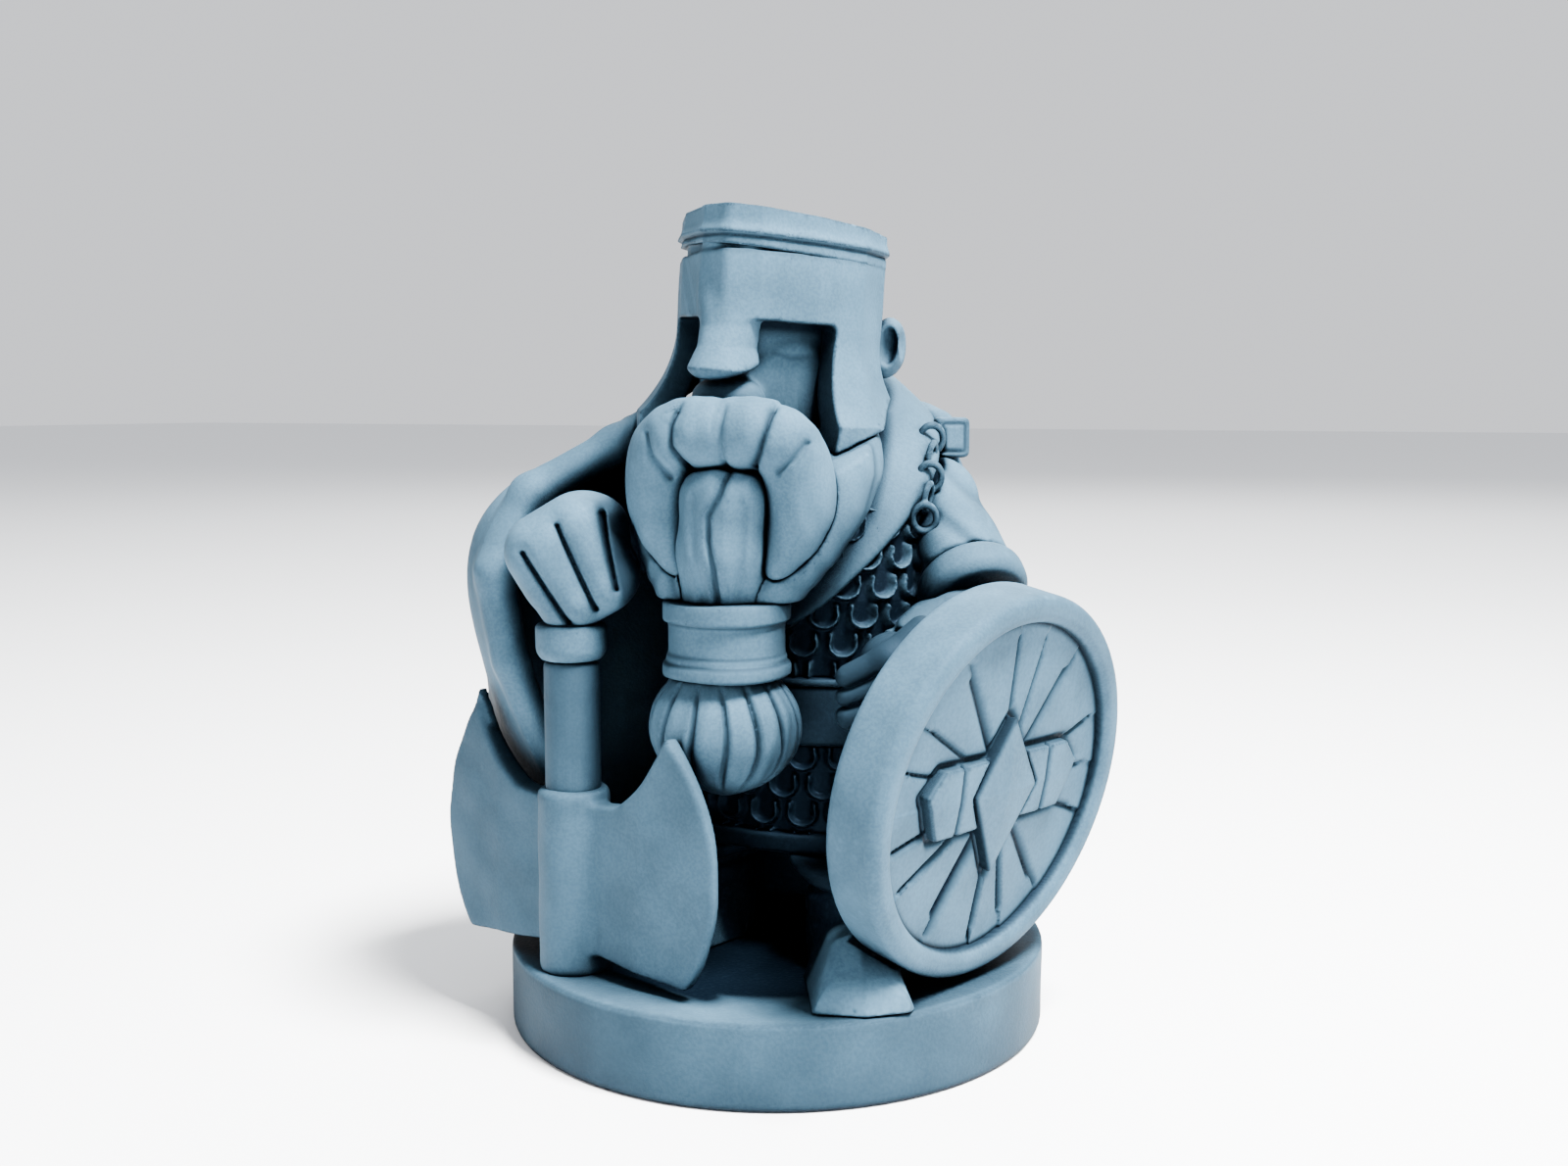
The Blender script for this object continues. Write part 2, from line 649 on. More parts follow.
EAR = (4.3, 3.0, 31.35)  # the left ear's middle in the helmet's frame; the right ear mirrors it


def ear(side):
    """A rounded ear with a lobe, hollowed from in front and from outside."""
    def shape(grid):
        x, y, z = helmet_points(grid)
        q = (side * x - EAR[0], y - EAR[1], z - EAR[2])
        lobe = egg(q, (0.1, 0, 0), (0.8, 1.0, 1.35))
        lobe = join(lobe, egg(q, (-0.1, -0.4, -0.95), (0.5, 0.5, 0.5)), 0.3)
        bowl = egg(q, (0.3, -0.8, 0.08), (0.4, 0.6, 0.88))
        lobe = cut(lobe, egg(q, (0.95, 0.0, 0.15), (0.35, 0.5, 0.8)), 0.15)
        return cut(lobe, bowl, 0.2), 0.25 * (egg(q, (0.3, -0.8, 0.08), (0.36, 0.5, 0.75)) < 0.1)
    return shape


RING_TOP = RING[2] + 1.8  # the beard ends here, inside the ring
MOUSTACHE_SHIFT = -0.1
MOUSTACHE_HALF = [  # one side, from the nose to the drooping tip
    (0.0, -7.0, 27.25, 1.45), (1.6, -6.95, 27.25, 1.45), (2.7, -6.6, 26.6, 1.42), (3.12, -6.25, 25.3, 1.38),
    (3.1, -6.15, 24.1, 1.3), (2.8, -6.3, 23.0, 1.02), (2.4, -6.5, 22.1, 0.62), (2.05, -6.6, 21.55, 0.3),
]
MOUSTACHE_GROOVES = [  # across and up
    [(-1.6, 28.6), (-1.93, 27.6), (-1.94, 26.8), (-1.5, 26.0)], [(0.35, 28.4), (0.24, 27.3), (0.24, 25.9)],
    [(2.3, 28.5), (2.15, 27.5), (1.85, 26.6), (1.45, 26.0)], [(3.6, 26.9), (3.15, 26.26), (2.5, 25.8)],
    [(-3.1, 27.3), (-2.86, 26.4), (-2.3, 25.5)],
]
CHIN_LOCK = [
    (-0.1, -5.6, 26.0, 1.6), (-0.12, -6.1, 24.6, 2.05), (-0.3, -6.0, 22.4, 2.1), (-0.45, -5.55, 20.2, 2.0),
]
CHIN_GROOVE = [(0.45, 25.8), (0.16, 24.8), (-0.38, 23.9), (-0.38, 22.9), (-0.17, 21.8), (-0.2, 19.8)]
CHIN_FOLDS = [
    [(-1.2, 24.6), (-1.1, 22.5), (-0.75, 20.8), (-0.85, 19.8)], [(1.0, 24.4), (0.85, 22.4), (0.5, 20.0)],
]


def hair_lines(across, z, scale):
    """Fine strands, wavering as they fall."""
    return 0.5 + 0.5 * np.cos(scale * across + 1.1 * np.sin(0.9 * z + 0.6 * across))


def moustache_field(p):
    x = p[0] - MOUSTACHE_SHIFT
    return rope((np.abs(x), p[1], p[2]), smooth_way(MOUSTACHE_HALF), 0.25)


def groove_strength(start):
    """The grooves beside the middle one are the deepest."""
    if start < 1:
        return 0.55
    return 1.0 if start < 2.5 else 0.72


def moustache(grid):
    """A thick drooping roll, grooved across its top."""
    x, y, z = beard_points(grid)
    body = moustache_field((x, y, z))
    u = np.abs(x - MOUSTACHE_SHIFT)
    flow = 0.0
    for groove in MOUSTACHE_GROOVES:
        way = line(x, z, groove)
        depth = 0.6 * dent(way, 0.13) + 0.4 * dent(way, 0.38)
        flow = np.maximum(flow, groove_strength(abs(groove[0][0])) * depth)
    flow = flow * share((28.6 - z) / 0.5)
    limb = share((26.3 - z) / 2)
    strands = hair_lines(u + 0.12 * z, z, 5.5) * limb + hair_lines(x, z, 7.0) * (1 - limb) * 0.6
    return body + 0.36 * flow + 0.04 * strands, flow ** 2 * (y < -5.5)


def chin_field(p):
    return rope(p, CHIN_LOCK, 0.6)


def chin_lock(grid):
    """The lock that falls from under the moustache into the ring."""
    x, y, z = beard_points(grid)
    lock = chin_field((x, y, z))
    flow = dent(line(x, z, CHIN_GROOVE), 0.13)
    soft = np.maximum(*[dent(line(x, z, fold), 0.2) for fold in CHIN_FOLDS])
    lock = lock + 0.26 * flow + 0.12 * soft + 0.045 * hair_lines(x, z, 7.5)
    lock = cut(lock, moustache_field((x, y, z)) - 0.1, 0.15)
    lock = meet(lock, RING_TOP - z, 0.1)
    return lock, flow * 0.7


BEARD_LOCKS = [  # one side's locks, from the back to the front
    [(3.7, -1.3, 27.4, 1.3), (4.1, -2.2, 26.0, 1.45), (3.7, -3.1, 24.4, 1.5), (2.9, -4.2, 22.6, 1.5),
     (2.0, -4.9, 21.2, 1.3), (1.4, -5.2, 20.0, 1.2)],
    [(3.5, -3.0, 27.0, 1.5), (3.75, -3.5, 25.6, 1.7), (3.2, -4.3, 23.6, 1.75), (2.3, -5.0, 21.8, 1.6),
     (1.2, -5.5, 20.0, 1.4)],
]
BEARD_CORE = [(0, -3.9, 27.0, 3.1), (0, -4.3, 24.5, 3.3), (0, -4.9, 22.2, 2.8), (0, -5.3, 20.1, 2.3)]


def beard(grid):
    """The locks behind the moustache, cut free of everything they lie against."""
    x, y, z = beard_points(grid)
    drift = np.interp(z, [20.0, 24.0], [-0.5, -0.15])
    u = np.abs(x - drift)
    p = (u, y, z)
    whole = rope(p, BEARD_CORE, 0.6)
    nearest, flow = whole + 0.4, 0.0
    for stations in BEARD_LOCKS:
        lock = rope(p, smooth_way(stations), 0.25)
        flow = np.maximum(flow, dent(lock - nearest, 0.16))
        nearest = np.minimum(nearest, lock)
        whole = join(whole, lock, 0.14)
    whole = whole + 0.05 * hair_lines(u + 0.3 * z, z, 6.0)
    chest, _ = trunk(grid.points)
    whole = cut(whole, chest - 0.15, 0.1)
    whole = cut(whole, collar_field(grid) - 0.12, 0.1)
    hx, hy, hz = helmet_points(grid)
    outside = helmet_outside(hx, hy, hz)
    whole = cut(whole, np.maximum(outside, cheek_edge(hy) - 0.05 - hz), 0.05)
    inside = helmet_plan(hx, hy) - 0.5
    whole = cut(whole, np.maximum(inside, 28.2 - z), 0.1)
    whole = cut(whole, np.minimum(moustache_field((x, y, z)), chin_field((x, y, z))) - 0.03, 0.08)
    whole = meet(whole, np.maximum(hz - cheek_edge(hy) + 0.02, RING_TOP - z), 0.2)
    return whole, share(flow * 0.5)


RING_PARTS = [  # radius, middle height, half height: top flange, band, ridge, low flange
    (2.74, 1.37, 0.43), (2.5, 0.2, 1.6), (2.6, -0.62, 0.14), (2.76, -1.12, 0.3),
]
RING_LINES = (0.9, -0.42, -0.8, -1.42)  # heights where wash lies


def ring(grid):
    """The beard's ring."""
    x, y, z = (grid.points[i] - RING[i] for i in range(3))
    r = np.hypot(x, y)
    parts = [np.maximum(r - radius, np.abs(z - up) - half) for radius, up, half in RING_PARTS]
    whole = softened(np.minimum.reduce(parts), 2)
    worn = 0.03 * np.sin(3 * np.arctan2(y, x) + 1.0)
    lines = np.maximum.reduce([dent(z - height, 0.08) for height in RING_LINES])
    return whole + worn, np.maximum(lines * (r > 2.3) * 0.8, 0.14)


TUFT_DROPS = [0.0, 0.35, 1.0, 1.6, 2.2, 2.7, 3.1, 3.6, 4.0, 4.4, 4.7, 5.0, 5.3]  # below its top
TUFT_RADII = [2.15, 2.45, 2.93, 3.14, 3.2, 3.16, 3.05, 2.8, 2.5, 2.05, 1.6, 1.0, 0.0]
TUFT_LOCKS = 7  # on each side


def tuft(grid):
    """The round tuft under the ring, fluted into locks, with a stem inside the ring."""
    x, y, z = (grid.points[i] - RING[i] for i in range(3))
    x, z = x + 0.12, z + 1.45
    radius = 1.06 * profile(-z, TUFT_DROPS, TUFT_RADII)
    theta = np.arctan2(x, -y * 1.15)
    r = np.hypot(x, y * 1.12)
    body = (r - radius) * 0.82
    wave = theta * TUFT_LOCKS + 0.35 * np.sin(1.1 * z + 2.0 * theta) + 0.5
    line_depth = dent(np.abs(np.sin(wave)), 0.28)
    fade = share(-z / 0.8) * share((z + 5.1) / 1.2)
    hair = 0.5 + 0.5 * np.cos(26 * theta + 1.3 * np.sin(1.4 * z))
    body = body + (0.26 * line_depth + 0.035 * hair) * fade
    body = meet(body, z, 0.12)
    body = meet(body, -z - 5.2, 0.3)
    stem = rod(grid.points, (RING[0], RING[1], RING[2] - 1.6), (RING[0], RING[1], RING[2] + 1.7), 0.9)
    return join(body, stem, 0.05), line_depth * fade * 0.75


def make_head():
    parts = [  # name, shape, slot, CAD node, room round the node
        ("helmet", helmet, "metal", "helmet_shell", (1.8, 1.2, 0.9)),
        ("helmet_crown", crown, "metal", "helmet_crown", 0.6),
        ("face", face, "skin", "head_core", (0.8, 2.6, 0.6)),
        ("left_ear", ear(1), "skin", "left_ear", 0.9),
        ("right_ear", ear(-1), "skin", "right_ear", 0.9),
        ("moustache", moustache, "hair", "moustache", 1.2),
        ("chin_lock", chin_lock, "hair", "chin_lock", 1.6),
        ("beard", beard, "hair", "beard_body", 1.2),
        ("beard_ring", ring, "metal", "beard_ring", 0.6),
        ("beard_tuft", tuft, "hair", "beard_tuft", 0.7),
    ]
    for name, shape, slot, node, spread in parts:
        piece(name + "_look", shape, "head", slot, [node], spread, VOXEL if shape is face else FINE)


# -------- cape and collar
COLLAR = np.array([TRUNK_X, 1.95, 25.4])
COLLAR_HALF = (5.25, 4.7)
COLLAR_TILT = math.radians(33.0)
COLLAR_DIP = 0.09  # how much steeper the strap falls in front


def collar_field(grid):
    """The tilted strap round the neck; at the sides and back it widens inwards and up into a cowl."""
    x, y, z = (grid.points[i] - COLLAR[i] for i in range(3))
    way = np.arctan2(y / COLLAR_HALF[1], x / COLLAR_HALF[0])
    front = np.minimum(y, 0)
    out = (np.hypot(x / COLLAR_HALF[0], y / (COLLAR_HALF[1] - 0.12 * front)) - 1) * 4.9
    rise = z - y * math.tan(COLLAR_TILT) + COLLAR_DIP * front ** 2 - 0.15 * np.sin(3 * way)
    width = np.clip((y + 3.4) / 3.4, 0.12, 1)
    inward, upward = -1.5 * width, 1.9 * width
    h = share((out * inward + rise * upward) / (inward ** 2 + upward ** 2))
    across = np.hypot(out - inward * h, (rise - upward * h) * 0.9)
    thick = 0.78 + 0.07 * np.clip(front, -4, 0)
    return across - thick + 0.04 * np.sin(4 * way + 2 * h)


def collar(grid):
    """The strap with room left for the helmet."""
    hx, hy, hz = helmet_points(grid)
    helmet_room = np.maximum(helmet_outside(hx, hy, hz) - 0.15, cheek_edge(hy) - 0.2 - hz)
    return cut(collar_field(grid), helmet_room, 0.1)


CAPE_TOP = [  # the rolled upper edge, from the right shoulder round the back to the clasp
    (-6.6, -1.6, 27.1, 0.75), (-6.5, 1.9, 27.5, 0.8), (-4.6, 5.3, 27.7, 0.8), (0.9, 7.2, 27.8, 0.85),
    (4.5, 6.5, 27.6, 0.8), (6.0, 5.6, 27.3, 0.7),
]
CAPE_EDGE = [  # the rolled front edge, from the hem up to the collar
    (-6.6, -5.4, 4.3, 0.35), (-7.6, -6.2, 11.0, 0.4), (-9.6, -7.6, 17.0, 0.7), (-10.4, -7.6, 21.0, 0.85),
    (-9.4, -6.2, 24.4, 0.85), (-6.5, -3.6, 26.6, 0.8), (-5.3, -1.9, 27.9, 0.6),
]
CAPE_BULGE = [  # where it swells out behind the axe
    (-11.9, -4.6, 16.0, 0.5), (-11.9, -4.7, 12.5, 0.9), (-11.6, -4.6, 9.5, 0.9), (-11.0, -4.4, 7.5, 0.6),
]
BLADE_SHADE = [(-4.8, 14.8), (-3.9, 12.3), (-2.7, 10.9)]  # across and up, over the axe's right blade
CAPE_AXIS_Y = -1.0
ARM_PATCH_LOW = 22.8  # the cape's patch over the shoulder lies above this height
ARM_PATCH_SIDE = -6.3  # and to the right of this


def fold_lift(grid, sheet):
    """How far the cape's folds stand out: nothing at the shoulders, most at the hem and behind."""
    x, y, z = grid.points
    from_axis_x, from_axis_y = x - TRUNK_X, y - CAPE_AXIS_Y
    round_way = np.arctan2(from_axis_x, from_axis_y)
    fall = share((26.5 - z) / 20)
    folds = 0.5 + 0.5 * np.cos(9 * round_way + 1.4 * np.sin(2.2 * round_way) + 0.05 * z)
    small = 0.5 + 0.5 * np.cos(21 * round_way + 0.22 * z)
    slope = np.gradient(sheet)
    radius = np.hypot(from_axis_x, from_axis_y) + 1e-6
    outward = share((slope[0] * from_axis_x + slope[1] * from_axis_y) / radius / grid.voxel)
    behind = share(y / 3)
    return ((0.75 + 0.75 * behind) * folds ** 2 + 0.14 * small) * fall ** 0.6 * outward


def cape(grid):
    """The cape over the back and the right arm, folded and with rolled edges."""
    x, _, z = grid.points
    sheet = softened(grid.cad("cape"), 3)
    sheet = sheet - fold_lift(grid, sheet)
    patch = np.maximum(ARM_PATCH_LOW - z, x - ARM_PATCH_SIDE)
    sheet = join(sheet, np.maximum(grid.cad("right_upper_arm") - 0.35, patch), 0.6)
    sheet = join(sheet, rope(grid.points, CAPE_TOP, 0.8), 0.9)
    sheet = join(sheet, rope(grid.points, CAPE_EDGE, 0.6), 0.6)
    sheet = join(sheet, rope(grid.points, CAPE_BULGE, 0.6), 1.2)
    across, depth, up = seen_from(grid.points, (HAFT[0], HAFT[1], 0), VIEW_YAW)
    return sheet, 0.9 * dent(line(across, up, BLADE_SHADE), 1.1) * share((9 - depth) / 4)


def clasp(grid):
    """The square clasp with a line round its face."""
    p = seen_from(grid.points, middle("shoulder_clasp"), math.radians(40))
    face_line = dent(block(p, (0.55, 2.0, 0.65), 0.1), 0.1)
    return softened(grid.cad("shoulder_clasp"), 2) + 0.1 * face_line, 0.8 * face_line


CHAIN = [  # centres of the chain's links, from the clasp down the collar's edge
    (6.5, 2.9, 26.9), (6.75, 2.2, 26.1), (6.95, 1.5, 25.2), (7.05, 0.9, 24.3), (7.1, 0.4, 23.4),
]
CHAIN_LINK = 0.52  # half width of a link, to its wire's middle
CHAIN_WIRE = 0.15  # the wire's radius


def chain(grid):
    """Wire links, each turned across the one before."""
    whole = 9.0
    for k, centre in enumerate(CHAIN):
        p = seen_from(grid.points, centre, math.radians(20 + 75 * (k % 2)), math.radians(10))
        from_wire = np.hypot(np.hypot(p[0], p[2] * 0.85) - CHAIN_LINK, p[1])
        whole = np.minimum(whole, from_wire - CHAIN_WIRE)
    return whole


def make_cape():
    piece("cape_look", cape, "figure", "cloth", ["cape"], spread=0.9)
    piece("cape_collar_look", collar, "figure", "cloth", ["cape_collar"], spread=(0.8, 1.6, 2.6))
    piece("shoulder_clasp_look", clasp, "figure", "metal", ["shoulder_clasp"], spread=0.3, voxel=FINE)
    piece("clasp_chain_look", chain, "figure", "metal", ["clasp_ring"], spread=(0.6, 4.5, 4.0), voxel=FINE)


# -------- arms
def sleeve(node, period, lean, depth, least_wash=0.0):
    """A CAD limb with cloth creases across it, period mm apart and depth mm deep."""
    def shape(grid):
        x, y, z = grid.points
        limb = softened(grid.cad(node), 2)
        phase = (z + lean * x + 0.3 * lean * y) * 2 * math.pi / period
        crease = 0.5 + 0.5 * np.sin(phase + 0.9 * np.sin(1.3 * x + 0.8 * y))
        return limb + depth * crease ** 3, np.maximum(0.35 * crease ** 6, least_wash)
    return shape


def limb_piece(node, *creases):
    piece(node + "_look", sleeve(node, *creases), "figure", "cloth", [node])


FIST_ROLL = math.radians(31.0)  # how far the fingers lean from upright, seen from in front
FINGER_SLITS = [  # across and up, seen from in front
    [(-1.4, 0.42), (0.47, -2.6)], [(0.06, 1.56), (1.62, -2.0)], [(1.83, 1.98), (2.14, 0.52), (2.5, -1.15)],
]


def right_fist(grid):
    """A closed hand: flat knuckles above, three fingers curled round the haft, the thumb side in shade."""
    x, y, z = seen_from(grid.points, FIST, VIEW_YAW)
    cos_roll, sin_roll = math.cos(FIST_ROLL), math.sin(FIST_ROLL)
    over, along_fingers = cos_roll * x + sin_roll * z, cos_roll * z - sin_roll * x
    whole = block((over - 0.35, y - 0.2, along_fingers + 0.4), (2.45, 2.15, 2.75), 1.7)
    whole = join(whole, egg((x, y, z), (1.2, 0.9, 1.3), (1.7, 1.5, 1.5)), 0.5)
    in_front = share((0.9 - y) / 0.6)
    slit, valley = 0.0, 0.0
    for way in FINGER_SLITS:
        apart = line(x, z, way)
        slit = np.maximum(slit, dent(apart, 0.1))
        valley = np.maximum(valley, dent(apart, 0.4))
    knuckle_line = dent(along_fingers + 1.5, 0.5) * (y < 0)
    whole = whole + (0.36 * slit + 0.15 * valley) * in_front + 0.1 * knuckle_line
    slit_across, slit_up = zip(*reversed(FINGER_SLITS[-1]))
    thumb_side = share((x - np.interp(z, slit_up, slit_across)) / 0.3)
    wash = np.maximum(slit * in_front, 0.8 * thumb_side * share((2.6 - z) / 0.8))
    below = low_high("haft_ferrule")[1][2] - 0.5
    return meet(whole, below - z - FIST[2], 0.2), wash


def left_hand(grid):
    """A closed hand with three fingers, bored for the shield's peg."""
    hand = middle("left_hand")
    p = seen_from(grid.points, hand, VIEW_YAW)
    whole, nearest, slit = egg(p, (0.35, 0.2, 0.1), (1.5, 1.5, 1.6)), 9.0, 0.0
    for k in range(3):
        drop = 0.95 * k
        finger = rope(p, [(1.5, -0.7, 1.9 - drop, 0.62), (0.1, -1.2, 0.75 - drop, 0.66),
                          (-1.5, -0.8, -0.1 - 0.8 * k, 0.6)], 0.4)
        slit = np.maximum(slit, dent(finger - nearest, 0.14))
        nearest = np.minimum(nearest, finger)
        whole = join(whole, finger, 0.06)
    hole = rod(grid.points, hand - 0.8 * PULL, hand + 4 * PULL, 0.75, 0.02)
    return cut(whole + 0.15 * slit, hole, 0.05), np.maximum(slit, 0.82)


def cuff(grid):
    return softened(grid.cad("left_cuff"), 4), 0.2


def make_arms():
    limb_piece("right_upper_arm", 2.4, 0.6, 0.25)
    limb_piece("right_forearm", 1.6, -0.8, 0.2)
    piece("right_fist_look", right_fist, "figure", "skin", ["right_fist"], voxel=FINE, spread=0.7)
    limb_piece("left_upper_arm", 2.2, 0.5, 0.16)
    piece("left_cuff_look", cuff, "figure", "cloth", ["left_cuff"])
    limb_piece("left_forearm", 1.8, 0.5, 0.15, 0.35)
    piece("left_hand_look", left_hand, "figure", "skin", ["left_hand"], voxel=FINE, spread=0.8)


# -------- axe
AXE_FOOT = (HAFT[0], HAFT[1], 0)
SOCKET_RADIUS = 1.4
SOCKET_TOP = 11.7
BORE_RADIUS = 0.9
BORE_FLOOR = 4.6
HORN = [(-6.75, 13.3), (-6.0, 15.6), (-5.2, 14.1)]  # across and up, the right blade's upper tip


def axe_head(grid):
    """Two blades on a round socket that is bored for the haft."""
    x, y, z = seen_from(grid.points, AXE_FOOT, AXE_YAW)
    socket = rod((x, y, z), (0, 0, GROUND + 0.05), (0, 0, SOCKET_TOP), SOCKET_RADIUS, 0.25)
    whole = join(softened(grid.cad("axe_head"), 2), socket, 0.7)
    bore = rod((x, y, z), (0, 0, BORE_FLOOR), (0, 0, 13), BORE_RADIUS, 0.02)
    whole = cut(whole, bore, 0.05)
    whole = join(whole, np.maximum(polygon(x, z, HORN), np.abs(y) - 0.22), 0.25)
    worn = 0.03 * np.sin(1.7 * x + 0.9 * z) * np.sin(1.1 * z + 2)
    return whole + worn, 0.3 + 0.08 * (x < -SOCKET_RADIUS)


def haft(grid):
    """The haft, darker on the side away from the light."""
    x, y, _ = seen_from(grid.points, HAFT, VIEW_YAW)
    return softened(grid.cad("axe_haft"), 1), 0.48 + 0.4 * share((x - 0.5) / 0.8) * (y < 0.8)


def ferrule(grid):
    return softened(grid.cad("haft_ferrule"), 3)


def make_axe():
    piece("axe_head_look", axe_head, "figure", "metal", ["axe_head"])
    piece("axe_haft_look", haft, "figure", "wood_grip", ["axe_haft"])
    piece("haft_ferrule_look", ferrule, "figure", "metal", ["haft_ferrule"])


# -------- base, boots and legs
BOOTS = {  # x and y of the heel and of the toe
    "left_boot": ((5.2, -3.6), (7.35, -7.6)),
    "right_boot": ((-2.6, -1.4), (-3.6, -4.8)),
}
PEG_RADIUS = 0.8
PEG_HOLE_RADIUS = 0.85
PEG_DEPTH = 1.8
PEG_HOLE_DEPTH = 2.0
AXE_STAIN = [(-6.5, 0.7), (7.0, 0.9)]  # the wash under the axe, in its own frame


def base(grid):
    """The round disc with its two peg holes; wash lies under the figure and the axe."""
    x, y, z = grid.points
    low, high = low_high("base_disc")
    radius = (high[0] - low[0]) / 2
    from_axis = np.hypot(x, y)
    out = from_axis - radius + 0.02 + 0.015 * np.sin(5 * np.arctan2(y, x)) * np.sin(1.3 * z)
    disc = meet(out, np.maximum(z - high[2], low[2] - z), 0.25)
    for heel, _ in BOOTS.values():
        hole = rod((x, y, z), (*heel, GROUND - PEG_HOLE_DEPTH), (*heel, GROUND + 1), PEG_HOLE_RADIUS, 0.02)
        disc = cut(disc, hole, 0.03)
    across, depth, _ = seen_from(grid.points, (0, 0, 0), VIEW_YAW)
    under_figure = share((radius - 2.1 - from_axis) / 1.1) * share((3.2 - across) / 1.5)
    under_figure = under_figure * share((3.0 - depth) / 2)
    axe_x, axe_y, _ = seen_from(grid.points, AXE_FOOT, AXE_YAW)
    under_axe = share((1.5 - line(axe_x, axe_y, AXE_STAIN)) / 1.1)
    on_top = np.maximum(under_figure, under_axe) * (z > high[2] - 0.3)
    turned_away = 0.3 + 0.4 * share((-across - 3) / 9)
    return disc, np.maximum(on_top, turned_away * (z < high[2] - 0.1))


def boot(node):
    """A blunt boot with a short shaft, a turned-down top and a peg under the heel."""
    def shape(grid):
        (hx, hy), (tx, ty) = BOOTS[node]
        z0 = GROUND + 0.04
        x, y, z = seen_from(grid.points, (tx, ty, z0), math.atan2(tx - hx, hy - ty))
        back = y + 1.9
        top = np.minimum(0.95 + 0.72 * back, 2.75) - 0.25 * np.abs(x)
        toe = np.maximum((np.abs(x) - 2.15 + 0.42 * z) * 0.9, -back + 0.25 * z + 0.22 * np.abs(x))
        toe = meet(meet(toe, (z - top) * 0.8, 0.35), y - 3.5, 0.3)
        shaft = rope(grid.points, [(hx, hy, z0 + 1.6, 1.75), (hx, hy, 7.2, 1.65)], 0.3)
        heel = rod(grid.points, (hx, hy, z0), (hx, hy, z0 + 2.4), 1.85, 0.3)
        cuff_ring = rod(grid.points, (hx, hy, 6.2), (hx, hy, 7.3), 1.95, 0.3)
        whole = join(join(join(toe, heel, 0.5), shaft, 0.5), cuff_ring, 0.15)
        whole = meet(whole, -z, 0.08)
        peg = rod(grid.points, (hx, hy, GROUND - PEG_DEPTH), (hx, hy, GROUND + 1), PEG_RADIUS, 0.05)
        u, v, w = shield_points(grid)
        shield_room = np.maximum(np.hypot(u, v) - SHIELD_RADIUS - 0.15, -(w + SHIELD_DEPTH + 0.2))
        whole = join(cut(whole, shield_room, 0.05), peg, 0.05)
        return whole, np.maximum(share((z - 2.6) / 0.6), share((back - 3.3) / 0.8))
    return shape


def make_legs():
    piece("base_look", base, "base", "base", ["base_disc"], spread=0.3, voxel=0.12)
    piece("left_boot_look", boot("left_boot"), "figure", "leather", ["left_boot"], voxel=FINE)
    piece("right_boot_look", boot("right_boot"), "figure", "leather", ["right_boot"])
    limb_piece("left_leg", 1.1, 0.2, 0.2, 0.9)
    limb_piece("right_leg", 1.1, -0.2, 0.2, 0.9)


# -------- shield
def shield_points(grid):
    """Across, up and outwards from the middle of the shield's front."""
    across = np.cross([0, 0, 1], SHIELD_NORMAL)
    across /= np.linalg.norm(across)
    up = np.cross(SHIELD_NORMAL, across)
    d = [grid.points[i] - SHIELD[i] for i in range(3)]
    return [sum(d[i] * axis[i] for i in range(3)) for axis in (across, up, SHIELD_NORMAL)]


RIM_MIDDLE = 7.85
RIM_HALF = 0.62
RIM_ROUND = 0.5
PANEL_RADIUS = 7.3
SEAM_RADIUS = 7.2  # where wash lies between the face and the rim
RAYS = 15
CREST_BAR = [(-5.2, 0.5), (-4.3, 1.5), (4.3, 1.5), (5.2, 0.5), (4.3, -1.5), (-4.3, -1.5)]
CREST_LOZENGE = [(0, 3.2), (2.1, 0), (0, -3.8), (-2.1, 0)]


def rim(grid):
    """The thick rounded rim."""
    u, v, w = shield_points(grid)
    r = np.hypot(u, v)
    half = SHIELD_DEPTH / 2
    a, b = np.abs(r - RIM_MIDDLE) - RIM_HALF + RIM_ROUND, np.abs(w + half) - half + RIM_ROUND
    ring_field = np.hypot(np.maximum(a, 0), np.maximum(b, 0)) + np.minimum(np.maximum(a, b), 0) - RIM_ROUND
    seam = dent(r - SEAM_RADIUS, 0.14) * (w < -0.2) * (w > -1.2)
    outer_side = 0.15 * share((r - 7.9) / 0.3) * share((-u - 2) / 3)
    return ring_field, np.maximum(seam, outer_side)


def crest_outline(u, v):
    return np.minimum(polygon(u, v, CREST_BAR), polygon(u, v, CREST_LOZENGE))


def panel(grid):
    """The recessed face, carved in uneven tilted rays."""
    u, v, w = shield_points(grid)
    r = np.hypot(u, v)
    turn = np.arctan2(v, u) / (2 * math.pi) * RAYS
    turn = turn + 0.22 * np.sin(1.9 * turn)
    number = np.floor(turn)
    part = turn - number
    tilt = 0.10 + 0.05 * np.sin(3.1 * number)
    front = 0.42 + tilt * part * share(r / 5) + 0.1 * (r / SEAM_RADIUS) ** 2
    ray = dent(np.minimum(part, 1 - part) * 2 * math.pi * r / RAYS, 0.15)
    ray_end = 6.7 + 0.5 * np.sin(2.3 * number)
    reach = share((ray_end - r) / 0.3) * share((r - 1.5) / 0.5)
    moat = dent(crest_outline(u, v) - 0.12, 0.2)
    carved = np.maximum(ray * reach, moat)
    plate = np.maximum(r - PANEL_RADIUS, np.maximum(w + front, -(w + 1.7)))
    edge = dent(r - SEAM_RADIUS, 0.16)
    return plate + 0.24 * carved, np.maximum(carved, edge) * (w > -1.0)


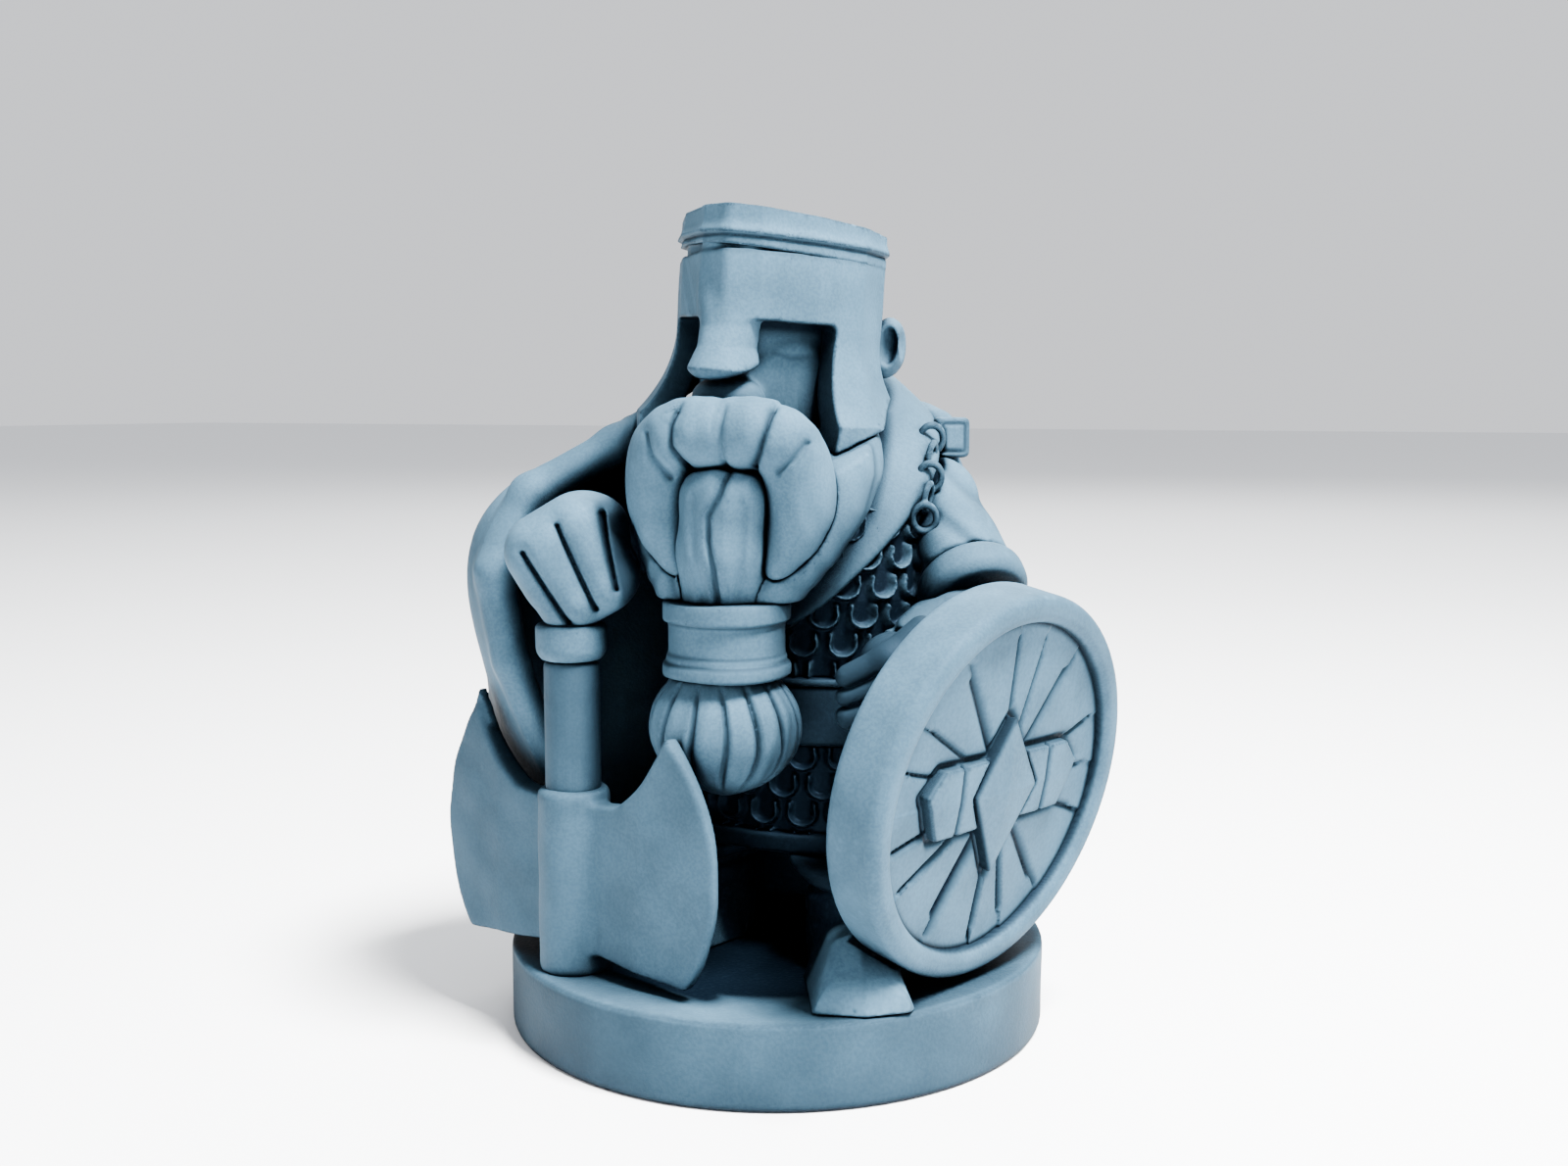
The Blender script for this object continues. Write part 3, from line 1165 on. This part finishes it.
def crest(grid):
    """A lozenge over a plated bar."""
    u, v, w = shield_points(grid)
    bar, lozenge = polygon(u, v, CREST_BAR), polygon(u, v, CREST_LOZENGE)
    facets = 0.05 * np.abs(v) + 0.03 * np.abs(np.abs(u) - 3.0)
    plates = meet(bar, w + 0.08 + facets, 0.1)
    plates = cut(plates, np.maximum(lozenge - 0.16, -w - 0.45), 0.05)
    plates = np.minimum(plates, meet(lozenge, w - 0.08 + 0.07 * np.abs(v) + 0.05 * np.abs(u), 0.1))
    joints = dent(np.abs(u) - 3.0, 0.1) * (bar < 0) * (lozenge > 0.1)
    plates = np.maximum(plates + 0.15 * joints, -(w + 0.8))
    return plates, np.maximum(joints, dent(lozenge - 0.05, 0.13))


def make_shield():
    piece("shield_rim_look", rim, "shield", "metal", ["shield_rim"])
    piece("shield_panel_look", panel, "shield", "shield_face", ["shield_panel"], voxel=FINE, spread=0.3)
    piece("shield_crest_look", crest, "shield", "shield_face", ["shield_crest"], voxel=FINE, spread=0.3)


# -------- stage, light and camera
CAMERA_DISTANCE = 75.0
CAMERA_HEIGHT = 28.66
CAMERA_PITCH = math.radians(6.45)
CAMERA_TURN = math.radians(0.245)
SENSOR_WIDTH = 36.0
FOCAL_LENGTH = 37.1925
FLOOR_COLOUR = (0.80, 0.81, 0.82, 1)
SKY_COLOUR = (0.93, 0.95, 1.0, 1)
SKY_STRENGTH = 1.08
CHEST = Vector((0, 0, 0.018))


def make_stage():
    bpy.ops.mesh.primitive_plane_add(size=3.0)
    floor = bpy.context.object
    floor.name = "floor"
    material = bpy.data.materials.new("floor_paper")
    material.use_nodes = True
    shader = material.node_tree.nodes["Principled BSDF"]
    shader.inputs["Base Color"].default_value = FLOOR_COLOUR
    shader.inputs["Roughness"].default_value = 0.9
    floor.data.materials.append(material)


def area_light(name, azimuth, height, distance, size, power):
    """A square soft light aimed at the figure's chest, in metres; azimuth is from -Y towards +X."""
    data = bpy.data.lights.new(name, "AREA")
    data.size = size
    data.energy = power
    light = bpy.data.objects.new(name, data)
    turn = math.radians(azimuth)
    light.location = (math.sin(turn) * distance, -math.cos(turn) * distance, height)
    light.rotation_euler = (CHEST - light.location).to_track_quat("-Z", "Y").to_euler()
    bpy.context.scene.collection.objects.link(light)


def make_light():
    area_light("key", azimuth=72, height=0.17, distance=0.075, size=0.05, power=4.2)
    area_light("fill", azimuth=0, height=0.16, distance=0.34, size=0.3, power=0.12)
    area_light("back", azimuth=190, height=0.3, distance=0.3, size=0.25, power=1.6)
    world = bpy.data.worlds.new("studio")
    bpy.context.scene.world = world
    world.use_nodes = True
    background = world.node_tree.nodes["Background"]
    background.inputs["Color"].default_value = SKY_COLOUR
    background.inputs["Strength"].default_value = SKY_STRENGTH


def make_camera():
    data = bpy.data.cameras.new("camera")
    data.sensor_width = SENSOR_WIDTH
    data.lens = FOCAL_LENGTH
    data.clip_start = 0.005
    camera = bpy.data.objects.new("camera", data)
    across, back = math.sin(VIEW_YAW) * CAMERA_DISTANCE, math.cos(VIEW_YAW) * CAMERA_DISTANCE
    camera.location = (across * MM, -back * MM, CAMERA_HEIGHT * MM)
    camera.rotation_euler = (math.pi / 2 - CAMERA_PITCH, 0, VIEW_YAW - CAMERA_TURN)
    bpy.context.scene.collection.objects.link(camera)
    bpy.context.scene.camera = camera


make_trunk()
make_head()
make_cape()
make_arms()
make_axe()
make_legs()
make_shield()
make_stage()
make_light()
make_camera()
